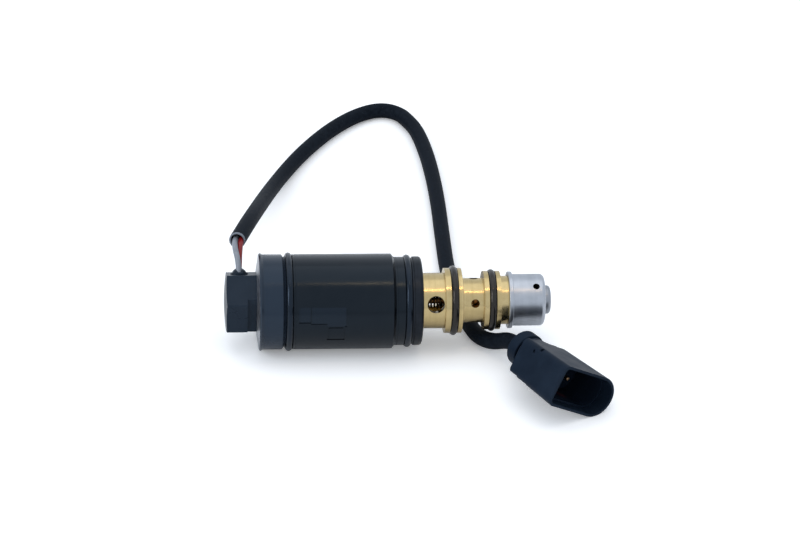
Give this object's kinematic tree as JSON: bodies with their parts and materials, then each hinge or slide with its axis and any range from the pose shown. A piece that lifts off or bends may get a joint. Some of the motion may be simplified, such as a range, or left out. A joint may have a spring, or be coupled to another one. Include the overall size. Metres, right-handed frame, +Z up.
{
  "type": "compressor control valve",
  "caption": "Solenoid-operated control valve for a refrigerant compressor: coil housing with flange seals, ported brass body, end capsule, and a sleeved two-wire lead ending in a plug.",
  "frame": {"origin": "on the surface that the valve lies on, below the middle of the valve's length and its axis", "axes": "+X along the valve's axis from the wire outlet's end to the nose, +Y to the back, where the lead lies, +Z up"},
  "size_m": [0.1285, 0.228, 0.0352],
  "materials": {
    "black_plastic": "semi-gloss moulding",
    "black_rubber": "satin",
    "tinned_terminal": "tin plated",
    "plated_steel": "zinc plated",
    "coated_steel": "black coated",
    "spool_plastic": "natural",
    "copper_wire": "enamelled copper",
    "stainless": "drawn and turned stainless steel",
    "spring_steel": "bright wire",
    "turned_brass": "turned, satin",
    "drawn_cap": "drawn, satin",
    "turned_nose": "turned, satin",
    "grey_insulation": "extruded",
    "red_insulation": "extruded",
    "sleeve_vinyl": "soft vinyl"
  },
  "bodies": {
    "valve": {"terminal_head": "black_plastic", "coil_housing": "black_plastic", "plug_housing": "black_plastic", "plug_rear_cap": "black_plastic", "wire_seal": "black_rubber", "flange_seal": "black_rubber", "front_seal": "black_rubber", "body_seal_1": "black_rubber", "body_seal_2": "black_rubber", "plug_wire_seal_1": "black_rubber", "plug_wire_seal_2": "black_rubber", "terminal_front": "tinned_terminal", "terminal_rear": "tinned_terminal", "plug_pin_1": "tinned_terminal", "plug_pin_2": "tinned_terminal", "end_plate": "plated_steel", "coil_case": "plated_steel", "rear_yoke": "plated_steel", "front_yoke": "coated_steel", "bobbin": "spool_plastic", "winding": "copper_wire", "lead_front": "copper_wire", "lead_rear": "copper_wire", "guide_tube": "stainless", "fixed_core": "stainless", "bellows": "stainless", "return_spring": "spring_steel", "port_spring": "spring_steel", "valve_body": "turned_brass", "cap": "drawn_cap", "adjusting_plug": "turned_nose", "wire_grey": "grey_insulation", "wire_red": "red_insulation", "sleeve": "sleeve_vinyl"},
    "armature": {"plunger": "stainless", "valve_rod": "stainless", "bellows_tip": "stainless"}
  },
  "joints": [
    {"name": "armature_slide", "type": "slide", "parent": "valve", "child": "armature", "axis": [1, 0, 0], "range_m": [0, 0.0007], "stiffness_N_per_m": 3000, "springref_m": -0.002, "deforming": ["return_spring", "port_spring", "bellows"]}
  ]
}
